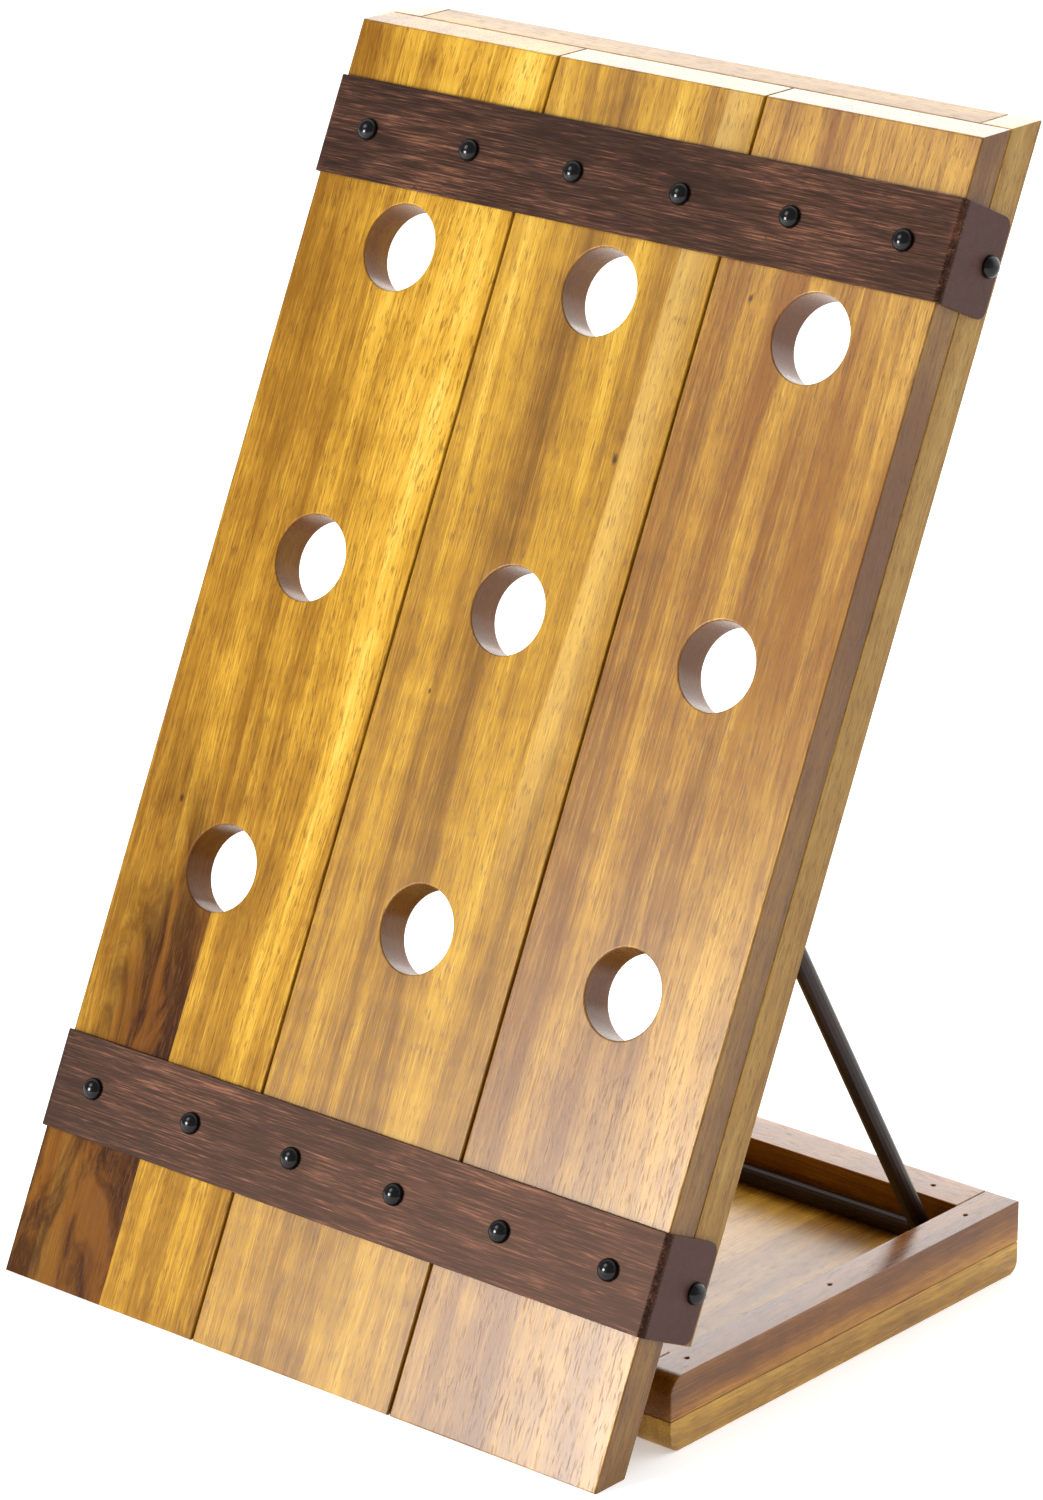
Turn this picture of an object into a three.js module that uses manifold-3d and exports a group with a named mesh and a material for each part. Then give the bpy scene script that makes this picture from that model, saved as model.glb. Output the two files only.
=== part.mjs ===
// Folding table-top bottle rack: a leaning panel of three boards with nine neck holes, two nailed
// metal straps, a shallow tray behind it, two hinges between them and a swinging rod support.
// Millimetres, +Z up, +X to the right seen from the front, +Y to the back.
import * as THREE from "three";
import { mergeVertices } from "three/addons/utils/BufferGeometryUtils.js";
import Module from "manifold-3d";

const wasm = await Module();
wasm.setup();

// ---- driving dimensions ----
const WIDTH = 355; // both panel and tray
const GAP = 0.3; // between pieces that touch
const FINE_GAP = 0.2; // between flat pieces that touch
const DEPTH = 302.8; // front edge of the panel to the back of the tray

const TILT = THREE.MathUtils.degToRad(25); // the panel leans back from upright
const FACE_LENGTH = 600; // along the sloping face
const BOARD_THICK = 18.5;
const BOARD_GAP = 1.3;
const BOARD_EDGE_ROUND = 2.2;
const PANEL_THICK = 38.5; // board and rail together
const PANEL_RAIL_WIDE = 17;
const RAIL_FOOT = 69; // height up the face where the rails end
const CROSS_RAIL_TALL = 20;

const HOLE_RADIUS = 20.25;
const TOP_ROW = 500.6; // height up the face
const ROW_PITCH = 146.95;
const ROWS = 3;

const STRAP_TALL = 46;
const STRAP_THICK = 2;
const STRAP_BEND = 3.2;
const STRAP_TAB_DEPTH = 34.4;
const STRAP_TAB_ROUND = 5;
const UPPER_STRAP_LOW = 527;
const LOWER_STRAP_LOW = 69.6;

const RIVET_RADIUS = 5.25;
const RIVET_DOME = 4.3;
const RIVET_SHANK = 1.5;
const RIVET_LONG = 12;
const RIVET_PITCH = 61.5;
const TAB_RIVET_DEPTH = 27;

const TRAY_FRONT = 50.8;
const TRAY_TALL = 35.3;
const TRAY_FLOOR_THICK = 15;
const TRAY_SIDE_WIDE = 18.7;
const TRAY_END_WIDE = 22.6; // front and back rails
const TRAY_FRONT_ROUND = 8;
const TRAY_FOOT_ROUND = 6;

const BRAD_RADIUS = 0.8;
const BRAD_HOLE_RADIUS = 1.1;
const BRAD_LONG = 26;
const BRAD_SUNK = 1;
const FIRST_BRAD_Y = 73; // along each side rail
const BRAD_PITCH = 100.5;
const BACK_BRAD_X = 136.6;

const HINGE_X = 110;
const HINGE_LONG = 40;
const HINGE_RISE = 1.5; // pin centre above the tray's top and behind the panel's back
const KNUCKLE_RADIUS = 2.2;
const PIN_RADIUS = 1;
const LEAF_THICK = 1.2;
const LEAF_WIDE = 11.5;
const MIDDLE_KNUCKLE = 16;
const SCREW_HEAD_RADIUS = 2.6;
const SCREW_SHANK_RADIUS = 1.2;
const SCREW_LONG = 10;
const SCREW_HEAD_RISE = 0.9;
const SCREW_INSET = 7; // from the end of a leaf
const TRAY_SCREW_BACK = 7.5; // behind the pin
const PANEL_SCREW_UP = 6.5; // above the foot of the rails
const PANEL_LEAF_UP = 11; // above the foot of the rails
const PIN_OVERHANG = 0.6;
const GROOVE_ROOM = 0.5; // around the knuckles in the tray's front rail

const ROD_RADIUS = 4.75;
const BAIL_ARM_X = 145.1;
const BAIL_ARM_LONG = 255.7;
const BAIL_PIVOT_UP = 278.6; // up the face
const BAIL_PIVOT_DEEP = 28.5; // behind the face
const BAIL_OPEN = THREE.MathUtils.degToRad(55.5); // from the panel's slope out to the foot
const BAIL_STUB_RADIUS = 4;
const BAIL_STUB_END = 172;
const SOCKET_ROOM = 0.4; // around the turned-out ends in their sockets

const ROUND_SIDES = 48;
const SMALL_SIDES = 16;
const TINY_SIDES = 8;

// ---- materials ----
const wood = (color) => new THREE.MeshStandardMaterial({ color, roughness: 0.5, metalness: 0 });
const metal = (color, roughness) =>
  new THREE.MeshStandardMaterial({ color, roughness, metalness: 0.8 });
const goldenWood = wood(0xb98c4a);
const paleWood = wood(0xd8b98c);
const strapMetal = metal(0x4a3633, 0.5);
const rivetMetal = metal(0x14110f, 0.25);
const rodMetal = metal(0x2e2422, 0.45);
const hingeMetal = metal(0x8a7440, 0.4);

// ---- solids ----
function solid(geometry) {
  const bare = geometry.index ? geometry.toNonIndexed() : geometry.clone();
  bare.deleteAttribute("normal");
  bare.deleteAttribute("uv");
  const merged = mergeVertices(bare, 1e-4);
  return new wasm.Manifold(
    new wasm.Mesh({
      numProp: 3,
      vertProperties: merged.attributes.position.array,
      triVerts: new Uint32Array(merged.index.array),
    }),
  );
}

function geometryOf(manifold) {
  const mesh = manifold.getMesh();
  const geometry = new THREE.BufferGeometry();
  geometry.setAttribute("position", new THREE.BufferAttribute(mesh.vertProperties, 3));
  geometry.setIndex(new THREE.BufferAttribute(mesh.triVerts, 1));
  const flat = geometry.toNonIndexed();
  flat.computeVertexNormals();
  return flat;
}

const joined = (parts) => parts.reduce((sum, part) => sum.add(part));

function box(low, high) {
  const size = high.map((value, i) => value - low[i]);
  const middle = high.map((value, i) => (value + low[i]) / 2);
  return solid(new THREE.BoxGeometry(...size).translate(...middle));
}

// A round bar between two values along one axis; at holds the other two coordinates in x, y, z order.
function bar(axis, at, from, to, radius, sides) {
  const cylinder = new THREE.CylinderGeometry(radius, radius, to - from, sides);
  const middle = (from + to) / 2;
  if (axis === "x") cylinder.rotateZ(Math.PI / 2).translate(middle, at[0], at[1]);
  if (axis === "y") cylinder.translate(at[0], middle, at[1]);
  if (axis === "z") cylinder.rotateX(Math.PI / 2).translate(at[0], at[1], middle);
  return solid(cylinder);
}

// An outline drawn in (y, z), swept along X from one value to another.
function sweptAlongX(outline, from, to) {
  const geometry = new THREE.ExtrudeGeometry(outline, {
    depth: to - from,
    bevelEnabled: false,
    curveSegments: 5,
  });
  const turn = new THREE.Matrix4().set(0, 0, 1, from, 1, 0, 0, 0, 0, 1, 0, 0, 0, 0, 0, 1);
  return solid(geometry.applyMatrix4(turn));
}

// A four-cornered outline with its own radius at each corner, counter-clockwise from low y, low z.
function roundedOutline(lowY, highY, lowZ, highZ, radii) {
  const [a, b, c, d] = radii;
  const outline = new THREE.Shape();
  outline.moveTo(lowY + a, lowZ);
  outline.lineTo(highY - b, lowZ);
  if (b > 0) outline.absarc(highY - b, lowZ + b, b, -Math.PI / 2, 0, false);
  outline.lineTo(highY, highZ - c);
  if (c > 0) outline.absarc(highY - c, highZ - c, c, 0, Math.PI / 2, false);
  outline.lineTo(lowY + d, highZ);
  if (d > 0) outline.absarc(lowY + d, highZ - d, d, Math.PI / 2, Math.PI, false);
  outline.lineTo(lowY, lowZ + a);
  if (a > 0) outline.absarc(lowY + a, lowZ + a, a, Math.PI, 1.5 * Math.PI, false);
  return outline;
}

// ---- the scene ----
const rack = new THREE.Group();
const tray = new THREE.Group();
const panel = new THREE.Group();
const bail = new THREE.Group();
tray.position.y = -DEPTH / 2;
panel.position.y = -DEPTH / 2;
panel.rotation.x = -TILT; // inside: X across, Y behind the face, Z up the face
bail.position.set(0, BAIL_PIVOT_DEEP, BAIL_PIVOT_UP);
bail.rotation.x = BAIL_OPEN; // inside: the arms hang along -Z from the pivot
rack.add(tray, panel);
panel.add(bail);

function addNode(group, name, manifold, material) {
  const mesh = new THREE.Mesh(geometryOf(manifold), material);
  mesh.name = name;
  group.add(mesh);
}

// ---- panel ----
const HALF = WIDTH / 2;
const BOARD_WIDE = (WIDTH - 2 * BOARD_GAP) / 3;
const BOARD_PITCH = BOARD_WIDE + BOARD_GAP;
const RAIL_FRONT = BOARD_THICK + GAP;
const SLOPE = Math.tan(TILT); // the ends are cut level, so they climb by this much per mm of depth
const STRAP_FRONT = -GAP - STRAP_THICK;
const STRAP_SIDE = HALF + GAP + STRAP_THICK;
const STRAP_LOWS = [LOWER_STRAP_LOW, UPPER_STRAP_LOW];

const rivetXs = [-2.5, -1.5, -0.5, 0.5, 1.5, 2.5].map((step) => step * RIVET_PITCH);
const strapMiddles = STRAP_LOWS.map((low) => low + STRAP_TALL / 2);

// Level cuts at both ends of everything that runs the panel's whole height.
function levelEnded(lowDepth, highDepth, fromX, toX) {
  const outline = new THREE.Shape();
  outline.moveTo(lowDepth, lowDepth * SLOPE);
  outline.lineTo(highDepth, highDepth * SLOPE);
  outline.lineTo(highDepth, FACE_LENGTH + highDepth * SLOPE);
  outline.lineTo(lowDepth, FACE_LENGTH + lowDepth * SLOPE);
  outline.closePath();
  return sweptAlongX(outline, fromX, toX);
}

// Cuts the round on a board's outer front edge: side is -1 or 1.
function edgeRound(side) {
  const r = BOARD_EDGE_ROUND;
  const outline = new THREE.Shape();
  outline.moveTo(-1, -1);
  outline.lineTo(r, -1);
  outline.lineTo(r, 0);
  outline.absarc(r, r, r, -Math.PI / 2, -Math.PI, true);
  outline.lineTo(-1, r);
  outline.closePath();
  const length = FACE_LENGTH + 2 * BOARD_THICK;
  const geometry = new THREE.ExtrudeGeometry(outline, {
    depth: length,
    bevelEnabled: false,
    curveSegments: 4,
  });
  const cutter = solid(geometry.translate(-HALF, 0, -BOARD_THICK / 2));
  return side < 0 ? cutter : cutter.mirror([1, 0, 0]);
}

function holeThrough(x, up) {
  return bar("y", [x, up], -5, BOARD_THICK + 5, HOLE_RADIUS, ROUND_SIDES);
}

function addBoard(name, column) {
  const middle = column * BOARD_PITCH;
  const left = middle - BOARD_WIDE / 2;
  let board = levelEnded(0, BOARD_THICK, left, left + BOARD_WIDE);
  if (column !== 0) board = board.subtract(edgeRound(column));
  for (let row = 0; row < ROWS; row++) {
    board = board.subtract(holeThrough(middle, TOP_ROW - row * ROW_PITCH));
  }
  const nailHole = RIVET_SHANK + GAP;
  for (const up of strapMiddles) {
    for (const x of rivetXs.filter((x) => Math.abs(x - middle) < BOARD_WIDE / 2)) {
      board = board.subtract(bar("y", [x, up], -1, RIVET_LONG, nailHole, TINY_SIDES));
    }
  }
  addNode(panel, name, board, goldenWood);
}

addBoard("face_board_left", -1);
addBoard("face_board_middle", 0);
addBoard("face_board_right", 1);

function addSideRail(name, side) {
  const inner = side * (HALF - PANEL_RAIL_WIDE);
  const outer = side * HALF;
  let rail = levelEnded(RAIL_FRONT, PANEL_THICK, Math.min(inner, outer), Math.max(inner, outer));
  rail = rail.subtract(box([-WIDTH, 0, -50], [WIDTH, 2 * PANEL_THICK, RAIL_FOOT]));
  const nailTip = HALF - RIVET_LONG;
  for (const up of strapMiddles) {
    const ends = [side * nailTip, side * (HALF + 1)].sort((a, b) => a - b);
    const at = [TAB_RIVET_DEPTH, up];
    rail = rail.subtract(bar("x", at, ...ends, RIVET_SHANK + GAP, TINY_SIDES));
  }
  const socketEnds = [side * (BAIL_STUB_END + GAP), side * (HALF - PANEL_RAIL_WIDE - 1)];
  socketEnds.sort((a, b) => a - b);
  const pivot = [BAIL_PIVOT_DEEP, BAIL_PIVOT_UP];
  const socketRadius = BAIL_STUB_RADIUS + SOCKET_ROOM;
  rail = rail.subtract(bar("x", pivot, ...socketEnds, socketRadius, ROUND_SIDES / 2));
  addNode(panel, name, rail, goldenWood);
}

addSideRail("panel_rail_left", -1);
addSideRail("panel_rail_right", 1);

const crossEnd = HALF - PANEL_RAIL_WIDE - GAP;
const topRail = levelEnded(RAIL_FRONT, PANEL_THICK, -crossEnd, crossEnd).subtract(
  box([-WIDTH, 0, -50], [WIDTH, 2 * PANEL_THICK, FACE_LENGTH - CROSS_RAIL_TALL / 2]),
);
addNode(panel, "panel_rail_top", topRail, goldenWood);

// ---- the hinge line, shared by panel and tray ----
// The panel's back plane and the tray's top plane meet on this line; the pin lies on their bisector.
const meetY = (PANEL_THICK + TRAY_TALL * Math.sin(TILT)) / Math.cos(TILT);
const between = (Math.PI / 2 - TILT) / 2;
const pinY = meetY + HINGE_RISE / Math.tan(between);
const pinZ = TRAY_TALL + HINGE_RISE;
const pinDeep = pinY * Math.cos(TILT) - pinZ * Math.sin(TILT);
const pinUp = pinY * Math.sin(TILT) + pinZ * Math.cos(TILT);
const hingeXs = { left: -HINGE_X, right: HINGE_X };
const screwOffset = HINGE_LONG / 2 - SCREW_INSET;
const screwXs = Object.values(hingeXs).flatMap((x) => [x - screwOffset, x + screwOffset]);
const trayScrewY = pinY + TRAY_SCREW_BACK;
const panelScrewUp = RAIL_FOOT + PANEL_SCREW_UP;

let bottomRail = box(
  [-crossEnd, RAIL_FRONT, RAIL_FOOT],
  [crossEnd, PANEL_THICK, RAIL_FOOT + CROSS_RAIL_TALL],
);
for (const x of screwXs) {
  const ends = [PANEL_THICK - SCREW_LONG, PANEL_THICK + 1];
  const hole = bar("y", [x, panelScrewUp], ...ends, SCREW_SHANK_RADIUS + GAP, TINY_SIDES);
  bottomRail = bottomRail.subtract(hole);
}
addNode(panel, "panel_rail_bottom", bottomRail, goldenWood);

// Each hinge: a panel leaf with the middle knuckle, a tray leaf with the outer two, and a pin.
function hingeParts(name, x) {
  const half = HINGE_LONG / 2;
  const middle = MIDDLE_KNUCKLE / 2;
  const bore = (at) => bar("x", at, x - half - 1, x + half + 1, PIN_RADIUS + FINE_GAP, SMALL_SIDES);
  const knuckle = (at, from, to) => bar("x", at, x + from, x + to, KNUCKLE_RADIUS, SMALL_SIDES);
  const room = (at, from, to) => bar("x", at, x + from, x + to, KNUCKLE_RADIUS + GAP, SMALL_SIDES);

  const trayAt = [pinY, pinZ];
  const plateLow = TRAY_TALL + FINE_GAP;
  const trayPlate = box(
    [x - half, pinY, plateLow],
    [x + half, pinY + LEAF_WIDE, plateLow + LEAF_THICK],
  );
  let trayLeaf = joined([
    trayPlate,
    knuckle(trayAt, -half, -middle - GAP / 2),
    knuckle(trayAt, middle + GAP / 2, half),
  ]);
  trayLeaf = trayLeaf.subtract(room(trayAt, -middle - GAP / 2, middle + GAP / 2));
  trayLeaf = trayLeaf.subtract(bore(trayAt));

  const panelAt = [pinDeep, pinUp];
  const plateDeep = PANEL_THICK + FINE_GAP;
  const panelPlate = box(
    [x - half, plateDeep, pinUp],
    [x + half, plateDeep + LEAF_THICK, RAIL_FOOT + PANEL_LEAF_UP],
  );
  let panelLeaf = joined([panelPlate, knuckle(panelAt, -middle + GAP / 2, middle - GAP / 2)]);
  panelLeaf = panelLeaf.subtract(room(panelAt, -half - 1, -middle + GAP / 2));
  panelLeaf = panelLeaf.subtract(room(panelAt, middle - GAP / 2, half + 1));
  panelLeaf = panelLeaf.subtract(bore(panelAt));

  for (const screwX of [x - screwOffset, x + screwOffset]) {
    const hole = SCREW_SHANK_RADIUS + GAP;
    const upright = bar("z", [screwX, trayScrewY], TRAY_TALL - 1, pinZ + 3, hole, TINY_SIDES);
    trayLeaf = trayLeaf.subtract(upright);
    const ends = [PANEL_THICK - 1, pinDeep + 3];
    panelLeaf = panelLeaf.subtract(bar("y", [screwX, panelScrewUp], ...ends, hole, TINY_SIDES));
  }
  addNode(tray, `hinge_${name}_tray_leaf`, trayLeaf, hingeMetal);
  addNode(panel, `hinge_${name}_panel_leaf`, panelLeaf, hingeMetal);
  const pinHalf = half + PIN_OVERHANG;
  const pin = bar("x", trayAt, x - pinHalf, x + pinHalf, PIN_RADIUS, SMALL_SIDES);
  addNode(tray, `hinge_${name}_pin`, pin, hingeMetal);
}

for (const [name, x] of Object.entries(hingeXs)) hingeParts(name, x);

// A domed fastener on the axis of rotation, head up: shank below z = 0, head above it.
function fastener(headRadius, headRise, shankRadius, shankLong, rings, sides) {
  const outline = [new THREE.Vector2(0, -shankLong), new THREE.Vector2(shankRadius, -shankLong)];
  outline.push(new THREE.Vector2(shankRadius, 0));
  for (let i = 0; i < rings; i++) {
    const angle = (i / rings) * (Math.PI / 2);
    outline.push(new THREE.Vector2(headRadius * Math.cos(angle), headRise * Math.sin(angle)));
  }
  outline.push(new THREE.Vector2(0, headRise));
  return new THREE.LatheGeometry(outline, sides).rotateX(Math.PI / 2);
}

function screw() {
  const shank = SCREW_LONG - 1;
  return fastener(SCREW_HEAD_RADIUS, SCREW_HEAD_RISE, SCREW_SHANK_RADIUS, shank, 2, SMALL_SIDES);
}

const leafFace = FINE_GAP + LEAF_THICK + GAP / 3;
screwXs.forEach((x, i) => {
  const upright = screw().translate(x, trayScrewY, TRAY_TALL + leafFace);
  addNode(tray, `hinge_tray_screw_${i + 1}`, solid(upright), hingeMetal);
  const level = screw().rotateX(-Math.PI / 2);
  level.translate(x, PANEL_THICK + leafFace, panelScrewUp);
  addNode(panel, `hinge_panel_screw_${i + 1}`, solid(level), hingeMetal);
});

// ---- straps and their rivets ----
function strap(low) {
  const outer = STRAP_SIDE;
  const inner = outer - STRAP_THICK;
  const r = STRAP_BEND;
  const ri = r - STRAP_THICK;
  const back = STRAP_TAB_DEPTH;
  const front = STRAP_FRONT;
  const outline = new THREE.Shape();
  outline.moveTo(-outer, back);
  outline.lineTo(-outer, front + r);
  outline.absarc(-outer + r, front + r, r, Math.PI, 1.5 * Math.PI, false);
  outline.lineTo(outer - r, front);
  outline.absarc(outer - r, front + r, r, -Math.PI / 2, 0, false);
  outline.lineTo(outer, back);
  outline.lineTo(inner, back);
  outline.lineTo(inner, front + r);
  outline.absarc(inner - ri, front + r, ri, 0, -Math.PI / 2, true);
  outline.lineTo(-inner + ri, front + STRAP_THICK);
  outline.absarc(-inner + ri, front + r, ri, -Math.PI / 2, -Math.PI, true);
  outline.lineTo(-inner, back);
  outline.closePath();
  const geometry = new THREE.ExtrudeGeometry(outline, {
    depth: STRAP_TALL,
    bevelEnabled: false,
    curveSegments: 5,
  });
  const rough = solid(geometry.translate(0, 0, low));
  const radii = [0, STRAP_TAB_ROUND, STRAP_TAB_ROUND, 0];
  const sideView = roundedOutline(front - 1, back, low, low + STRAP_TALL, radii);
  let plate = rough.intersect(sweptAlongX(sideView, -WIDTH, WIDTH));
  const middle = low + STRAP_TALL / 2;
  const hole = RIVET_SHANK + GAP;
  for (const x of rivetXs) {
    plate = plate.subtract(bar("y", [x, middle], front - 1, 1, hole, TINY_SIDES));
  }
  const through = bar("x", [TAB_RIVET_DEPTH, middle], -WIDTH, WIDTH, hole, TINY_SIDES);
  return plate.subtract(through);
}

addNode(panel, "strap_lower", strap(LOWER_STRAP_LOW), strapMetal);
addNode(panel, "strap_upper", strap(UPPER_STRAP_LOW), strapMetal);

const rivet = () =>
  fastener(RIVET_RADIUS, RIVET_DOME, RIVET_SHANK, RIVET_LONG - 1, 4, SMALL_SIDES);
const rivetSeat = GAP / 2;

["lower", "upper"].forEach((level, row) => {
  const up = strapMiddles[row];
  rivetXs.forEach((x, i) => {
    const facing = rivet().rotateX(Math.PI / 2).translate(x, STRAP_FRONT - rivetSeat, up);
    addNode(panel, `strap_${level}_rivet_${i + 1}`, solid(facing), rivetMetal);
  });
  for (const [name, side] of Object.entries({ left: -1, right: 1 })) {
    const outward = rivet().rotateY((side * Math.PI) / 2);
    outward.translate(side * (STRAP_SIDE + rivetSeat), TAB_RIVET_DEPTH, up);
    addNode(panel, `strap_${level}_${name}_rivet`, solid(outward), rivetMetal);
  }
});

// ---- tray ----
const sideX = HALF - TRAY_SIDE_WIDE / 2;
const backRailY = DEPTH - TRAY_END_WIDE / 2;
const sideBradYs = [0, 1, 2].map((step) => FIRST_BRAD_Y + step * BRAD_PITCH);
const trayBrads = [
  ...[-sideX, sideX].flatMap((x) => sideBradYs.map((y) => [x, y])),
  [-BACK_BRAD_X, backRailY],
  [BACK_BRAD_X, backRailY],
];
const trayBradTop = TRAY_TALL - BRAD_SUNK;

function cutTrayBrads(wooden, low) {
  return trayBrads.reduce(
    (rest, at) => rest.subtract(bar("z", at, low, TRAY_TALL + 1, BRAD_HOLE_RADIUS, TINY_SIDES)),
    wooden,
  );
}

const floorOutline = roundedOutline(TRAY_FRONT, DEPTH, 0, TRAY_FLOOR_THICK, [
  TRAY_FOOT_ROUND,
  TRAY_FOOT_ROUND,
  0,
  0,
]);
const floorBoard = sweptAlongX(floorOutline, -HALF, HALF);
const bradTipZ = trayBradTop - BRAD_LONG - GAP;
addNode(tray, "tray_floor", cutTrayBrads(floorBoard, bradTipZ), paleWood);

const railLow = TRAY_FLOOR_THICK + FINE_GAP;
const railOutline = roundedOutline(TRAY_FRONT, DEPTH, railLow, TRAY_TALL, [
  0,
  0,
  0,
  TRAY_FRONT_ROUND,
]);
const innerX = HALF - TRAY_SIDE_WIDE;
const leftRail = sweptAlongX(railOutline, -HALF, -innerX);
const rightRail = sweptAlongX(railOutline, innerX, HALF);
addNode(tray, "tray_rail_left", cutTrayBrads(leftRail, TRAY_FLOOR_THICK), paleWood);
addNode(tray, "tray_rail_right", cutTrayBrads(rightRail, TRAY_FLOOR_THICK), paleWood);

const endX = innerX - FINE_GAP;
const backRail = box([-endX, DEPTH - TRAY_END_WIDE, railLow], [endX, DEPTH, TRAY_TALL]);
addNode(tray, "tray_rail_back", cutTrayBrads(backRail, TRAY_FLOOR_THICK), paleWood);

const frontOutline = roundedOutline(
  TRAY_FRONT,
  TRAY_FRONT + TRAY_END_WIDE,
  railLow,
  TRAY_TALL,
  [0, 0, 0, TRAY_FRONT_ROUND],
);
let frontRail = sweptAlongX(frontOutline, -endX, endX);
for (const x of Object.values(hingeXs)) {
  const half = HINGE_LONG / 2 + GROOVE_ROOM;
  const reach = KNUCKLE_RADIUS + GROOVE_ROOM;
  const groove = box(
    [x - half, pinY - reach, pinZ - reach],
    [x + half, pinY + reach, TRAY_TALL + 1],
  );
  frontRail = frontRail.subtract(groove);
}
for (const x of screwXs) {
  const at = [x, trayScrewY];
  const ends = [TRAY_TALL - SCREW_LONG, TRAY_TALL + 1];
  frontRail = frontRail.subtract(bar("z", at, ...ends, SCREW_SHANK_RADIUS + GAP, TINY_SIDES));
}
addNode(tray, "tray_rail_front", frontRail, paleWood);

trayBrads.forEach((at, i) => {
  const brad = bar("z", at, trayBradTop - BRAD_LONG, trayBradTop, BRAD_RADIUS, TINY_SIDES);
  addNode(tray, `tray_brad_${i + 1}`, brad, rodMetal);
});

// ---- rod support: two arms turned outwards at the top, welded to a cross bar at the foot ----
function ball(x, up) {
  const sphere = new THREE.SphereGeometry(ROD_RADIUS, SMALL_SIDES, SMALL_SIDES / 2);
  return solid(sphere.rotateX(Math.PI / 2).translate(x, 0, up));
}

function addArm(name, side) {
  const x = side * BAIL_ARM_X;
  const shaft = bar("z", [x, 0], -BAIL_ARM_LONG, 0, ROD_RADIUS, SMALL_SIDES);
  const ends = [x, side * BAIL_STUB_END].sort((a, b) => a - b);
  const stub = bar("x", [0, 0], ...ends, BAIL_STUB_RADIUS, SMALL_SIDES);
  const arm = joined([shaft, ball(x, 0), ball(x, -BAIL_ARM_LONG), stub]);
  addNode(bail, name, arm, rodMetal);
}

addArm("bail_arm_left", -1);
addArm("bail_arm_right", 1);

const weldX = BAIL_ARM_X - ROD_RADIUS - GAP;
const crossBar = bar("x", [0, -BAIL_ARM_LONG], -weldX, weldX, ROD_RADIUS, SMALL_SIDES);
addNode(bail, "bail_cross_bar", crossBar, rodMetal);

export default rack;
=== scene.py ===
# Looks of the folding bottle rack: camera, studio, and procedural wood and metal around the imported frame.

import math

import bmesh
import bpy
from mathutils import Matrix, Vector


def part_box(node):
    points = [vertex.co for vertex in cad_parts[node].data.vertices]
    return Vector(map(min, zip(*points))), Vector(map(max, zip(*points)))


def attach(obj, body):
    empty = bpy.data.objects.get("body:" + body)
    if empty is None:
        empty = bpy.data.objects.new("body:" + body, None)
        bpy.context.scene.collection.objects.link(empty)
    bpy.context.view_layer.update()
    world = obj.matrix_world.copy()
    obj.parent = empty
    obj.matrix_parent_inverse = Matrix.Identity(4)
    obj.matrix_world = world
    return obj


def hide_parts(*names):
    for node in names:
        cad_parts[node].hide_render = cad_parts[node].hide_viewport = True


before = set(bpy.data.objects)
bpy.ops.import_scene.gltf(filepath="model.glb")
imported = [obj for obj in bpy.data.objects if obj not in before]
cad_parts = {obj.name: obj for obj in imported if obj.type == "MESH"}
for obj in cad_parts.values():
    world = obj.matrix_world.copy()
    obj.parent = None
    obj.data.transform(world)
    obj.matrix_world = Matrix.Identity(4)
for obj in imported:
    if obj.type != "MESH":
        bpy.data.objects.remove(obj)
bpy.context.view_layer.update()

# ---- sizes in metres, and counts ----
TILT = math.radians(25)  # the panel leans back from upright
UP_FACE = Vector((0, math.sin(TILT), math.cos(TILT)))
INTO_PANEL = Vector((0, math.cos(TILT), -math.sin(TILT)))
BOARD_LOW, BOARD_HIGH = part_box("face_board_middle")
FRONT_Y = BOARD_LOW.y  # the panel's lower front edge
FACE_LENGTH = (BOARD_HIGH.z - BOARD_LOW.z) / math.cos(TILT)  # up the slope
PANEL_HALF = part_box("face_board_right")[1].x
BOARD_PITCH = 0.11877  # from the middle of one board, and its holes, to the next
GLUE_LINE = -0.1172  # across the panel, where the dark strip on the left board ends

HOLE_RADIUS = 0.02025
TOP_ROW = 0.5006  # from the panel's lower front edge up the face to the top row of holes
ROW_PITCH = 0.14695
ROWS = 3
HOLE_SIDES = 96
WALL_MARGIN = 0.0002  # a hole's wall is coloured this far beyond its radius

BOARD_EASE = 0.0009  # rounding of a face board's edges
END_BAND = 0.004  # the stretch at each end of a board that follows the level cut
EDGE_EASE = 0.0006
STRAP_EASE = 0.0003
WELD_REACH = 0.00001
SMOOTH_LIMIT = math.radians(40)  # a sharper corner than this stays a crease

RIVET_RADIUS = 0.00525
RIVET_HEIGHT = 0.0043
RIVET_RIM = 0.0003  # the upright rim under the dome
RIVET_SEAT = 0.0001
RIVET_RINGS = 10
RIVET_SIDES = 40

FLOOR_REACH = 12  # half the floor's width


# ---- colour and node helpers ----
def linear(red, green, blue):
    """An sRGB colour given in 0 to 255, as the linear RGBA that Blender's sockets hold."""
    def channel(value):
        value /= 255
        return value / 12.92 if value <= 0.04045 else ((value + 0.055) / 1.055) ** 2.4

    return (channel(red), channel(green), channel(blue), 1.0)


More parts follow.
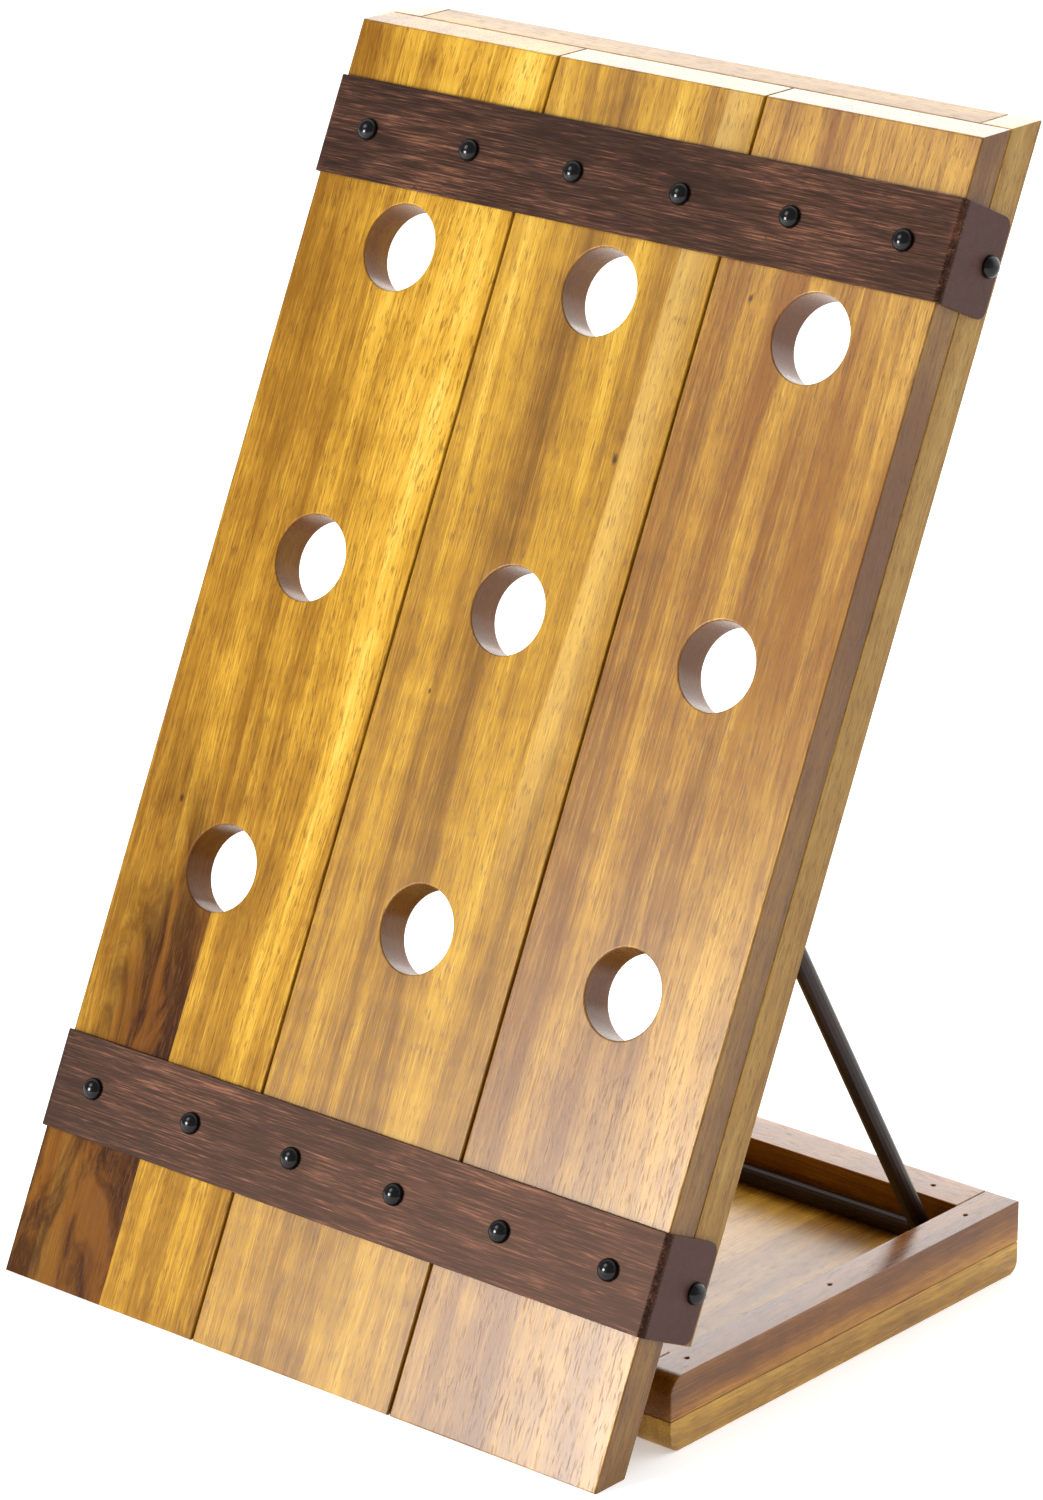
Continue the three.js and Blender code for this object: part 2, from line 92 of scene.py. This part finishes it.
class Shading:
    """A material's node tree with short calls for the nodes that these materials repeat."""

    def __init__(self, name):
        self.material = bpy.data.materials.new(name)
        self.material.use_nodes = True
        self.tree = self.material.node_tree
        self.surface = self.tree.nodes["Principled BSDF"]

    def node(self, kind, inputs=(), **settings):
        made = self.tree.nodes.new(kind)
        for key, value in settings.items():
            setattr(made, key, value)
        for socket, value in dict(inputs).items():
            self.put(made.inputs[socket], value)
        return made

    def put(self, socket, value):
        if isinstance(value, bpy.types.NodeSocket):
            self.tree.links.new(value, socket)
        else:
            socket.default_value = value

    def math(self, operation, a, b=0.0, c=0.0, clamp=False):
        made = self.node("ShaderNodeMath", {0: a, 1: b, 2: c}, operation=operation, use_clamp=clamp)
        return made.outputs[0]

    def product(self, *factors):
        """All the factors multiplied together."""
        total = factors[0]
        for factor in factors[1:]:
            total = self.math("MULTIPLY", total, factor)
        return total

    def inverse(self, value):
        """One minus the value."""
        return self.math("SUBTRACT", 1.0, value)

    def length(self, a, b):
        """Length of the vector with those two parts."""
        squares = self.math("ADD", self.product(a, a), self.product(b, b))
        return self.math("SQRT", squares)

    def between(self, value, low, high):
        """Rises smoothly from 0 at low to 1 at high."""
        made = self.node(
            "ShaderNodeMapRange",
            {"Value": value, "From Min": low, "From Max": high},
            interpolation_type="SMOOTHSTEP",
        )
        return made.outputs["Result"]

    def mix(self, share, a, b, blend="MIX"):
        made = self.node("ShaderNodeMix", data_type="RGBA", blend_type=blend)
        self.put(made.inputs[0], share)
        self.put(made.inputs[6], a)
        self.put(made.inputs[7], b)
        return made.outputs[2]

    def scaled(self, vector, scale, offset=(0, 0, 0)):
        made = self.node("ShaderNodeMapping", {"Vector": vector, "Location": offset, "Scale": scale})
        return made.outputs[0]

    def noise(self, vector, scale, offset=(0, 0, 0), detail=2.0, roughness=0.5, distortion=0.0):
        made = self.node(
            "ShaderNodeTexNoise",
            {
                "Vector": self.scaled(vector, scale, offset),
                "Scale": 1.0,
                "Detail": detail,
                "Roughness": roughness,
                "Distortion": distortion,
            },
        )
        return made.outputs["Fac"]

    def ramp(self, value, stops):
        made = self.node("ShaderNodeValToRGB", {0: value})
        band = made.color_ramp
        while len(band.elements) < len(stops):
            band.elements.new(0.5)
        for element, (place, colour) in zip(band.elements, stops):
            element.position = place
            element.color = colour
        return made.outputs[0]

    def split(self, vector):
        return self.node("ShaderNodeSeparateXYZ", {0: vector}).outputs

    def join(self, x, y=0.0, z=0.0):
        return self.node("ShaderNodeCombineXYZ", {0: x, 1: y, 2: z}).outputs[0]

    def object_place(self):
        return self.node("ShaderNodeTexCoord").outputs["Object"]

    def bump(self, height, strength, distance):
        made = self.node("ShaderNodeBump", {"Height": height, "Strength": strength, "Distance": distance})
        return made.outputs[0]


def panel_place(shade):
    """Object coordinates turned into the panel's own: X across, Y behind the face, Z up the face."""
    corner = (0, -FRONT_Y * math.cos(TILT), -FRONT_Y * math.sin(TILT))
    turned = shade.node(
        "ShaderNodeMapping",
        {"Vector": shade.object_place(), "Rotation": (TILT, 0, 0), "Location": corner},
    )
    return turned.outputs[0]


def tray_place(shade, along):
    """Object coordinates with Z along the grain of a tray piece, which runs along X or Y."""
    turn = (0, math.pi / 2, 0) if along == "x" else (math.pi / 2, 0, 0)
    return shade.node("ShaderNodeMapping", {"Vector": shade.object_place(), "Rotation": turn}).outputs[0]


# ---- wood ----
GOLDEN = [
    (0.0, linear(118, 78, 20)),
    (0.28, linear(150, 108, 34)),
    (0.55, linear(180, 136, 44)),
    (0.8, linear(198, 157, 60)),
    (1.0, linear(214, 180, 88)),
]
OLIVE = [
    (0.0, linear(104, 68, 16)),
    (0.3, linear(140, 99, 30)),
    (0.6, linear(170, 127, 36)),
    (0.82, linear(188, 147, 50)),
    (1.0, linear(206, 170, 76)),
]
ROSY = [
    (0.0, linear(112, 72, 28)),
    (0.3, linear(146, 104, 42)),
    (0.6, linear(172, 128, 46)),
    (0.85, linear(190, 148, 64)),
    (1.0, linear(206, 168, 88)),
]
TRAY_BROWN = [
    (0.0, linear(70, 36, 2)),
    (0.35, linear(110, 63, 6)),
    (0.65, linear(140, 88, 13)),
    (1.0, linear(178, 124, 36)),
]
PORE = linear(84, 46, 8)
RED_BROWN = linear(92, 46, 6)
HEARTWOOD = linear(44, 18, 1)
SIDE_PAINTED_SHADE = linear(196, 190, 214)  # painted shade: multiplies the long outer sides darker and bluer, standing in for the shade that falls on them
KNOT = linear(52, 28, 14)
BROWN = linear(112, 62, 18)
PALE = linear(222, 186, 104)
WALL = linear(104, 60, 28)
POLISH = 0.26  # roughness of the varnished wood
FIGURE_STRETCH = 0.07  # length along the grain counts this much in the rings' figure


def growth_rings(shade, across, deep, along, figure_at, offset):
    """Fine rings drawn out along the grain around the middle of the board's figure."""
    side = shade.math("SUBTRACT", across, figure_at[0])
    drawn_out = shade.math("SUBTRACT", along, figure_at[1])
    reach = shade.length(side, shade.product(drawn_out, FIGURE_STRETCH))
    return shade.noise(shade.join(reach, deep), (170, 12, 1), offset, detail=4, roughness=0.6)


def grain(shade, place, seed, figure_at, straight):
    """Tone, pores and fibres of a board, each 0 to 1, from coordinates whose Z runs along the grain."""
    offset = (seed * 3.1, seed * 1.7, seed * 5.3)
    bend = shade.noise(place, (5, 5, 1.6), offset, detail=2)
    across, deep, along = shade.split(place)[:3]
    sway = shade.math("MULTIPLY_ADD", bend, 0.06 * straight, -0.03 * straight)
    moved = shade.math("ADD", across, sway)
    bent = shade.join(moved, deep, along)
    broad = shade.noise(bent, (22, 22, 1.3), offset, detail=3, roughness=0.6)
    streak = shade.noise(bent, (130, 130, 4.5), offset, detail=4, roughness=0.62)
    fibre = shade.noise(bent, (1150, 1150, 34), offset, detail=4, roughness=0.7)
    ring = growth_rings(shade, moved, deep, along, figure_at, offset)
    shimmer = shade.noise(bent, (26, 26, 60), offset, detail=3)
    tone = shade.product(broad, 0.85)
    for layer, weight in ((streak, 0.2), (ring, 0.26), (fibre, 0.5), (shimmer, 0.16)):
        tone = shade.math("MULTIPLY_ADD", layer, weight, tone)
    pore_noise = shade.noise(bent, (1150, 1150, 130), offset, detail=2, roughness=0.6)
    return shade.between(tone, 0.72, 1.28), shade.between(pore_noise, 0.54, 0.66), fibre


def knots(shade, place, spots):
    """Dark where a small knot lies: spots holds (across, up the face, radius)."""
    across, _, along = shade.split(place)[:3]
    wobble = shade.noise(place, (300, 300, 160), detail=2)
    total = 0.0
    for x, up, radius in spots:
        dx = shade.math("SUBTRACT", across, x)
        dz = shade.product(shade.math("SUBTRACT", along, up), 0.6)
        reach = shade.math("MULTIPLY_ADD", wobble, radius * 0.8, shade.length(dx, dz))
        spot = shade.inverse(shade.between(reach, radius * 0.7, radius * 1.8))
        total = shade.math("MAXIMUM", total, spot)
    return total


def hole_walls(shade, place):
    """1 on the walls of the neck holes, 0 elsewhere."""
    across, _, along = shade.split(place)[:3]
    column = shade.math("ABSOLUTE", across)
    outer = shade.math("ABSOLUTE", shade.math("SUBTRACT", column, BOARD_PITCH))
    column = shade.math("MINIMUM", column, outer)
    row = FACE_LENGTH
    for step in range(ROWS):
        gap = shade.math("ABSOLUTE", shade.math("SUBTRACT", along, TOP_ROW - step * ROW_PITCH))
        row = shade.math("MINIMUM", row, gap)
    return shade.math("LESS_THAN", shade.length(column, row), HOLE_RADIUS + WALL_MARGIN)


def painted_shade_sides(shade, place):
    """1 on the panel's two long outer sides, where shade is painted in, 0 elsewhere."""
    across = shade.split(place)[0]
    return shade.between(shade.math("ABSOLUTE", across), PANEL_HALF - 0.0007, PANEL_HALF - 0.0001)


def finish_wood(shade, colour, pores, fibre, roughness, gloss=0.5):
    """Varnish over that colour, a little rougher and lower where the pores are."""
    surface = shade.surface
    shade.put(surface.inputs["Base Color"], colour)
    rough = shade.math("MULTIPLY_ADD", fibre, 0.16, roughness - 0.08)
    rough = shade.math("MULTIPLY_ADD", pores, 0.1, rough, clamp=True)
    shade.put(surface.inputs["Roughness"], rough)
    surface.inputs["Specular IOR Level"].default_value = gloss
    surface.inputs["IOR"].default_value = 1.45
    height = shade.math("SUBTRACT", shade.product(fibre, 0.4), pores)
    shade.put(surface.inputs["Normal"], shade.bump(height, 0.1, 0.00012))
    return shade.material


def board_material(name, palette, seed, figure_at, straight, spots, gloss, extra=None):
    shade = Shading(name)
    place = panel_place(shade)
    tone, pores, fibre = grain(shade, place, seed, figure_at, straight)
    colour = shade.ramp(tone, palette)
    if extra:
        colour = extra(shade, place, colour)
    colour = shade.mix(shade.product(pores, 0.52), colour, PORE)
    colour = shade.mix(shade.product(knots(shade, place, spots), 0.9), colour, KNOT)
    # painted shade: the long outer sides are multiplied darker and bluer, as if less light reached them
    colour = shade.mix(painted_shade_sides(shade, place), colour, SIDE_PAINTED_SHADE, "MULTIPLY")
    colour = shade.mix(shade.product(hole_walls(shade, place), 0.75), colour, WALL)
    return finish_wood(shade, colour, pores, fibre, POLISH, gloss)


def heart_strip(shade, place, colour):
    """Dark heartwood on the outer part of the left board's lower half, ending at a sharp glue line."""
    across, _, along = shade.split(place)[:3]
    ragged = shade.noise(place, (28, 28, 5), (4, 9, 1), detail=4, roughness=0.6)
    height = shade.math("MULTIPLY_ADD", ragged, 0.2, shade.math("SUBTRACT", along, 0.1))
    fade_up = shade.inverse(shade.between(height, 0.15, 0.3))
    strip = shade.product(shade.math("LESS_THAN", across, GLUE_LINE), fade_up)
    near_line = shade.between(across, GLUE_LINE - 0.07, GLUE_LINE - 0.026)
    low = shade.inverse(shade.between(along, 0.07, 0.13))
    reach = shade.math("MAXIMUM", near_line, shade.product(low, 0.9))
    ground = shade.product(strip, shade.math("MULTIPLY_ADD", reach, 0.8, 0.12))
    swirl = shade.noise(place, (46, 46, 14), (7, 2, 5), detail=5, roughness=0.62, distortion=1.1)
    dark = shade.product(shade.between(swirl, 0.4, 0.6), reach, strip, 0.92)
    return shade.mix(dark, shade.mix(ground, colour, RED_BROWN), HEARTWOOD)


def pale_streak(shade, place, colour):
    """A paler stripe near the right edge of the middle board, sharp on its left side, fading downwards."""
    across, _, along = shade.split(place)[:3]
    sway = shade.noise(place, (3, 3, 3), (2, 2, 2), detail=1)
    moved = shade.math("MULTIPLY_ADD", sway, 0.02, across)
    leaning = shade.math("MULTIPLY_ADD", along, -0.02, moved)
    rise = shade.between(leaning, 0.037, 0.0395)
    fall = shade.inverse(shade.between(leaning, 0.043, 0.062))
    upper = shade.between(along, 0.2, 0.34)
    return shade.mix(shade.product(rise, fall, upper, 0.36), colour, PALE)


def dark_figure(shade, place, colour):
    """Brown streaks up the right board, strongest above the middle of its height."""
    across, _, along = shade.split(place)[:3]
    wander = shade.noise(place, (4, 4, 2.4), (1, 8, 3), detail=2)
    moved = shade.math("MULTIPLY_ADD", wander, 0.05, across)
    lines = shade.noise(shade.join(moved, z=along), (52, 1, 1.6), (3, 3, 9), detail=4, roughness=0.6)
    upper = shade.between(along, 0.22, 0.42)
    return shade.mix(shade.product(shade.between(lines, 0.46, 0.62), upper, 0.72), colour, BROWN)


def cross_rail_material():
    """The panel's two cross rails, whose grain runs from side to side."""
    shade = Shading("acacia_cross_rails")
    turn = (0, math.pi / 2, 0)
    place = shade.node("ShaderNodeMapping", {"Vector": panel_place(shade), "Rotation": turn}).outputs[0]
    tone, pores, fibre = grain(shade, place, 6.1, (0.2, 0.1), straight=0.5)
    colour = shade.ramp(tone, ROSY)
    colour = shade.mix(shade.product(pores, 0.4), colour, PORE)
    return finish_wood(shade, colour, pores, fibre, roughness=0.42)


def tray_material(name, along, palette, seed):
    shade = Shading(name)
    place = tray_place(shade, along)
    tone, pores, fibre = grain(shade, place, seed, (0.05 * seed, 0.1), straight=0.7)
    colour = shade.ramp(tone, palette)
    colour = shade.mix(shade.product(pores, 0.45), colour, PORE)
    return finish_wood(shade, colour, pores, fibre, POLISH)


# ---- metal ----
STRAP_BRONZE = [
    (0.0, linear(10, 5, 4)),
    (0.4, linear(32, 19, 14)),
    (0.75, linear(66, 42, 32)),
    (1.0, linear(118, 78, 58)),
]
SCUFF = linear(34, 22, 22)
COPPER = linear(132, 82, 62)
RUBBED = linear(128, 78, 58)
TAB = linear(64, 44, 44)


def worn_strap(shade, place, colour, patch):
    """Scuffs and copper wear on the strap's face, rubbed bends at its sides and duller tabs."""
    across, deep, _ = shade.split(place)[:3]
    on_face = shade.math("LESS_THAN", deep, -0.0004)
    wear_noise = shade.noise(place, (60, 90, 160), (1, 5, 2), detail=4, roughness=0.75)
    scuff = shade.product(shade.between(wear_noise, 0.6, 0.66), on_face, 0.7)
    colour = shade.mix(scuff, colour, SCUFF)
    copper_noise = shade.noise(place, (30, 500, 500), (8, 5, 2), detail=3, roughness=0.7)
    copper = shade.product(shade.between(copper_noise, 0.6, 0.72), on_face, 0.4)
    colour = shade.mix(copper, colour, COPPER)
    bend = shade.between(shade.math("ABSOLUTE", across), PANEL_HALF - 0.0037, PANEL_HALF - 0.0007)
    rubbed = shade.product(bend, on_face, shade.between(patch, 0.5, 0.68), 0.6)
    colour = shade.mix(rubbed, colour, RUBBED)
    on_tab = shade.math("GREATER_THAN", deep, 0.001)
    return shade.mix(shade.product(on_tab, 0.75), colour, TAB)


def strap_material():
    """Brushed dark bronze."""
    shade = Shading("strap_bronze")
    place = panel_place(shade)
    brush = shade.noise(place, (45, 1300, 1300), detail=4, roughness=0.65)
    coarse = shade.noise(place, (16, 260, 260), (3, 1, 8), detail=4, roughness=0.6)
    patch = shade.noise(place, (14, 14, 22), (6, 6, 6), detail=3)
    tone = shade.math("MULTIPLY_ADD", coarse, 0.35, shade.product(brush, 0.85))
    tone = shade.math("MULTIPLY_ADD", patch, 0.25, tone)
    colour = shade.ramp(shade.between(tone, 0.5, 0.96), STRAP_BRONZE)
    surface = shade.surface
    shade.put(surface.inputs["Base Color"], worn_strap(shade, place, colour, patch))
    surface.inputs["Metallic"].default_value = 0.1
    surface.inputs["Specular IOR Level"].default_value = 0.27
    surface.inputs["Specular Tint"].default_value = linear(255, 200, 172)
    shade.put(surface.inputs["Roughness"], shade.math("MULTIPLY_ADD", brush, 0.2, 0.34))
    shade.put(surface.inputs["Normal"], shade.bump(brush, 0.25, 0.0001))
    return shade.material


def speckled_metal(name, dark, light, roughness, metallic, grain_scale=420, gloss=0.5, relief=0.12):
    """Painted or plated metal whose tone and gloss vary a little in fine speckles."""
    shade = Shading(name)
    place = shade.object_place()
    fine = shade.noise(place, (grain_scale,) * 3, detail=3, roughness=0.6)
    broad = shade.noise(place, (35, 35, 35), (5, 5, 5), detail=3)
    tone = shade.math("MULTIPLY_ADD", fine, 0.5, shade.product(broad, 0.5))
    colour = shade.ramp(shade.between(tone, 0.35, 0.68), [(0.0, dark), (1.0, light)])
    surface = shade.surface
    shade.put(surface.inputs["Base Color"], colour)
    surface.inputs["Metallic"].default_value = metallic
    surface.inputs["Specular IOR Level"].default_value = gloss
    shade.put(surface.inputs["Roughness"], shade.math("MULTIPLY_ADD", fine, 0.14, roughness - 0.07))
    shade.put(surface.inputs["Normal"], shade.bump(fine, relief, 0.00008))
    return shade.material


# ---- dressing the frame's own pieces ----
def even_normals(piece):
    """Keeps flat faces flat and lets the narrow curved ones between them take the shading."""
    weighted = piece.modifiers.new("even_normals", "WEIGHTED_NORMAL")
    weighted.mode = "FACE_AREA"
    weighted.weight = 90
    weighted.keep_sharp = True


def weld(piece):
    """Joins the corners that neighbouring faces share."""
    joined = piece.modifiers.new("weld", "WELD")
    joined.merge_threshold = WELD_REACH


def dress(node, material, soften=EDGE_EASE):
    """Gives a CAD node its material and smooth curved faces, and eases its edges where soften isn't 0."""
    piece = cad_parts[node]
    piece.data.materials.clear()
    piece.data.materials.append(material)
    piece.data.polygons.foreach_set("use_smooth", [True] * len(piece.data.polygons))
    if soften:
        weld(piece)
        ease = piece.modifiers.new("eased_edges", "BEVEL")
        ease.width = soften
        ease.segments = 2
        ease.limit_method = "ANGLE"
        ease.angle_limit = math.radians(35)
        ease.use_clamp_overlap = False
        even_normals(piece)
    else:
        piece.data.set_sharp_from_angle(angle=SMOOTH_LIMIT)


def dress_panel():
    boards = {
        "left": board_material(
            "acacia_left", GOLDEN, seed=1.0, figure_at=(-0.15, 0.42), straight=1.0,
            spots=[(-0.153, 0.232, 0.0012), (-0.128, 0.36, 0.0008)], gloss=0.1, extra=heart_strip,
        ),
        "middle": board_material(
            "acacia_middle", OLIVE, seed=2.3, figure_at=(0.02, 0.5), straight=0.8,
            spots=[(0.0345, 0.43, 0.0016), (-0.03, 0.31, 0.0008)], gloss=0.3, extra=pale_streak,
        ),
        "right": board_material(
            "acacia_right", ROSY, seed=3.7, figure_at=(0.16, 0.2), straight=0.45,
            spots=[(0.082, 0.512, 0.0012)], gloss=0.37, extra=dark_figure,
        ),
    }
    rails = board_material(
        "acacia_rails", GOLDEN, seed=5.2, figure_at=(0.3, 0.3), straight=0.5,
        spots=[(0.1715, 0.2, 0.001)], gloss=0.3,
    )
    for column, (name, material) in enumerate(boards.items()):
        add_board(name, column - 1, material)
    for side in ("left", "right"):
        dress(f"panel_rail_{side}", rails)
    cross = cross_rail_material()
    for end in ("top", "bottom"):
        dress(f"panel_rail_{end}", cross)


def dress_tray():
    floor_wood = tray_material("acacia_tray_floor", "y", GOLDEN, 1.4)
    side_wood = tray_material("acacia_tray_sides", "y", TRAY_BROWN, 2.2)
    end_wood = tray_material("acacia_tray_ends", "x", TRAY_BROWN, 3.4)
    dress("tray_floor", floor_wood)
    for side in ("left", "right"):
        dress(f"tray_rail_{side}", side_wood)
    for end in ("front", "back"):
        dress(f"tray_rail_{end}", end_wood)


def dress_metal():
    bronze = strap_material()
    rod = speckled_metal("rod_brown", linear(24, 13, 9), linear(42, 25, 18), 0.34, 0.2, gloss=0.3)
    brass = speckled_metal("hinge_brass", linear(96, 78, 42), linear(150, 122, 70), 0.38, 0.9)
    steel = speckled_metal("brad_steel", linear(46, 42, 38), linear(90, 86, 80), 0.5, 0.8)
    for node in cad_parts:
        if node in ("strap_lower", "strap_upper"):
            dress(node, bronze, STRAP_EASE)
        elif node.startswith("bail_"):
            dress(node, rod, 0)
        elif node.startswith("hinge_"):
            dress(node, brass, 0)
        elif node.startswith("tray_brad"):
            dress(node, steel, 0)


# ---- face boards ----
def circle(radius, sides):
    """Corners of a regular polygon around the origin."""
    turns = [2 * math.pi * k / sides for k in range(sides)]
    return [(radius * math.cos(turn), radius * math.sin(turn)) for turn in turns]


def board_outlines(low, high, column):
    """A board's edge and its neck holes, as points across and up the face."""
    outlines = [[(low.x, 0), (high.x, 0), (high.x, FACE_LENGTH), (low.x, FACE_LENGTH)]]
    middle = column * BOARD_PITCH
    for row in range(ROWS):
        up = TOP_ROW - row * ROW_PITCH
        outlines.append([(middle + x, up + y) for x, y in circle(HOLE_RADIUS, HOLE_SIDES)])
    return outlines


def drilled_plate(name, outlines, thick):
    """The mesh of a flat plate around z = 0, with eased edges and the inner outlines cut out."""
    curve = bpy.data.curves.new(name, "CURVE")
    curve.dimensions = "2D"
    curve.fill_mode = "BOTH"
    curve.extrude = thick / 2 - BOARD_EASE
    curve.bevel_depth = BOARD_EASE
    curve.bevel_resolution = 3
    curve.offset = -BOARD_EASE
    for outline in outlines:
        spline = curve.splines.new("POLY")
        spline.points.add(len(outline) - 1)
        for point, (x, up) in zip(spline.points, outline):
            point.co = (x, up, 0, 1)
        spline.use_cyclic_u = True
    drawn = bpy.data.objects.new(name + "_outline", curve)
    bpy.context.scene.collection.objects.link(drawn)
    bpy.context.view_layer.update()
    mesh = bpy.data.meshes.new_from_object(drawn.evaluated_get(bpy.context.evaluated_depsgraph_get()))
    bpy.data.objects.remove(drawn)
    return mesh


def lean_back(mesh, thick):
    """Lays a flat plate into the leaning panel, with both its ends cut level."""
    slope = math.tan(TILT)
    for vertex in mesh.vertices:
        x, up, out = vertex.co
        deep = thick / 2 - out
        if up < END_BAND or up > FACE_LENGTH - END_BAND:
            up += deep * slope
        foot = Vector((x, FRONT_Y, 0))
        vertex.co = foot + UP_FACE * up + INTO_PANEL * deep


def add_board(name, column, material):
    """A face board with eased edges and round neck holes in place of the faceted one."""
    node = f"face_board_{name}"
    low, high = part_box(node)
    thick = (high.y - low.y - FACE_LENGTH * math.sin(TILT)) * math.cos(TILT)
    mesh = drilled_plate(node, board_outlines(low, high, column), thick)
    lean_back(mesh, thick)
    mesh.polygons.foreach_set("use_smooth", [True] * len(mesh.polygons))
    mesh.set_sharp_from_angle(angle=SMOOTH_LIMIT)
    mesh.materials.clear()
    mesh.materials.append(material)
    piece = bpy.data.objects.new(node + "_planed", mesh)
    bpy.context.scene.collection.objects.link(piece)
    weld(piece)
    even_normals(piece)
    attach(piece, "panel")
    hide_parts(node)


# ---- rivets ----
def dome_outline():
    """Half the rivet head's section from its seat to just below the crown, as (reach, up)."""
    outline = [(RIVET_RADIUS, -RIVET_SEAT), (RIVET_RADIUS, RIVET_RIM)]
    for ring in range(1, RIVET_RINGS):
        angle = ring / RIVET_RINGS * math.pi / 2
        up = RIVET_RIM + (RIVET_HEIGHT - RIVET_RIM) * math.sin(angle)
        outline.append((RIVET_RADIUS * 0.985 * math.cos(angle), up))
    return outline


def dome_mesh(name):
    """A low dome on a thin rim, around +Z."""
    shape = bmesh.new()
    loops = [
        [shape.verts.new((x, y, up)) for x, y in circle(reach, RIVET_SIDES)] for reach, up in dome_outline()
    ]
    crown = shape.verts.new((0, 0, RIVET_HEIGHT))
    seat = shape.verts.new((0, 0, -RIVET_SEAT))
    for k in range(RIVET_SIDES):
        after = (k + 1) % RIVET_SIDES
        for lower, upper in zip(loops, loops[1:]):
            shape.faces.new((lower[k], lower[after], upper[after], upper[k]))
        shape.faces.new((loops[-1][k], loops[-1][after], crown))
        shape.faces.new((loops[0][after], loops[0][k], seat))
    mesh = bpy.data.meshes.new(name)
    shape.to_mesh(mesh)
    shape.free()
    mesh.polygons.foreach_set("use_smooth", [True] * len(mesh.polygons))
    mesh.set_sharp_from_angle(angle=math.radians(50))
    return mesh


def outward_from(node):
    """The way a rivet's head faces: out of the panel's face, or sideways on a tab."""
    if "right" in node:
        return Vector((1, 0, 0))
    if "left" in node:
        return Vector((-1, 0, 0))
    return -INTO_PANEL


def add_rivets():
    """A finely rounded head in place of each faceted rivet."""
    black = speckled_metal(
        "rivet_black", linear(5, 4, 4), linear(10, 8, 8), 0.16, 0.0, grain_scale=300, gloss=0.3, relief=0.02
    )
    for node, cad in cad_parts.items():
        if not node.startswith("strap_") or "rivet" not in node:
            continue
        outward = outward_from(node)
        tip = max((vertex.co for vertex in cad.data.vertices), key=lambda co: co.dot(outward))
        piece = bpy.data.objects.new(node + "_head", dome_mesh(node + "_head"))
        bpy.context.scene.collection.objects.link(piece)
        piece.data.materials.append(black)
        turn = outward.to_track_quat("Z", "Y").to_matrix().to_4x4()
        piece.matrix_world = Matrix.Translation(Vector(tip) - outward * RIVET_HEIGHT) @ turn
        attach(piece, "panel")
        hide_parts(node)


# ---- studio ----
def add_camera():
    """A long lens, at the angle that was fitted to the photograph."""
    looks_down = math.radians(19.44)
    turned = math.radians(40.65)
    camera = bpy.data.objects.new("camera", bpy.data.cameras.new("camera"))
    bpy.context.scene.collection.objects.link(camera)
    camera.data.lens = 145.5
    camera.data.sensor_width = 36
    camera.data.clip_end = 60
    camera.location = (1.6678, -1.9349, 1.1560)
    camera.rotation_euler = (math.pi / 2 - looks_down, 0, turned)
    bpy.context.scene.camera = camera


def add_light(name, place, aim, size, power):
    lamp = bpy.data.objects.new(name, bpy.data.lights.new(name, "AREA"))
    bpy.context.scene.collection.objects.link(lamp)
    lamp.data.shape = "RECTANGLE"
    lamp.data.size, lamp.data.size_y = size
    lamp.data.energy = power
    lamp.location = place
    direction = Vector(aim) - Vector(place)
    lamp.rotation_euler = direction.to_track_quat("-Z", "Y").to_euler()
    lamp.visible_camera = False


def add_world():
    """A white surround, brighter towards the back."""
    world = bpy.data.worlds.new("studio")
    bpy.context.scene.world = world
    world.use_nodes = True
    nodes = world.node_tree.nodes
    links = world.node_tree.links
    sky = nodes["Background"]
    direction = nodes.new("ShaderNodeTexCoord")
    split = nodes.new("ShaderNodeSeparateXYZ")
    glow = nodes.new("ShaderNodeMapRange")
    glow.interpolation_type = "SMOOTHSTEP"
    glow.inputs["From Min"].default_value = -0.1
    glow.inputs["From Max"].default_value = 0.75
    glow.inputs["To Min"].default_value = 0.42  # towards the front
    glow.inputs["To Max"].default_value = 2.4  # towards the back
    links.new(direction.outputs["Generated"], split.inputs[0])
    links.new(split.outputs[1], glow.inputs["Value"])
    links.new(glow.outputs[0], sky.inputs["Strength"])
    sky.inputs["Color"].default_value = (1, 1, 1, 1)


def add_floor():
    """A wide, faintly mottled white floor that glows a little."""
    mesh = bpy.data.meshes.new("floor")
    signs = ((-1, -1), (1, -1), (1, 1), (-1, 1))
    mesh.from_pydata([(x * FLOOR_REACH, y * FLOOR_REACH, 0) for x, y in signs], [], [(0, 1, 2, 3)])
    floor = bpy.data.objects.new("floor", mesh)
    bpy.context.scene.collection.objects.link(floor)
    shade = Shading("floor_white")
    mottle = shade.noise(shade.object_place(), (3, 3, 3), detail=2)
    colour = shade.mix(mottle, (0.93, 0.93, 0.93, 1), (0.96, 0.96, 0.96, 1))
    surface = shade.surface
    shade.put(surface.inputs["Base Color"], colour)
    surface.inputs["Roughness"].default_value = 0.7
    surface.inputs["Emission Color"].default_value = (1, 1, 1, 1)
    surface.inputs["Emission Strength"].default_value = 0.35
    floor.data.materials.append(shade.material)


def add_lamps():
    middle = (0, 0, 0.25)
    add_light("key", (-1.2, -1.9, 2.3), middle, (1.2, 1.2), 24)
    add_light("side", (2.6, -0.4, 1.3), middle, (1.6, 1.6), 2)
    add_light("sheen", (-0.88, -1.97, 0.6), (0.1, -0.1, 0.1), (0.6, 0.6), 46)
    add_light("glare", (-1.5, 2.1, 1.15), (0.05, 0.08, 0.03), (1.8, 1.1), 12)


bpy.context.scene.view_settings.view_transform = "Standard"
add_camera()
add_world()
add_floor()
add_lamps()
dress_panel()
dress_tray()
dress_metal()
add_rivets()
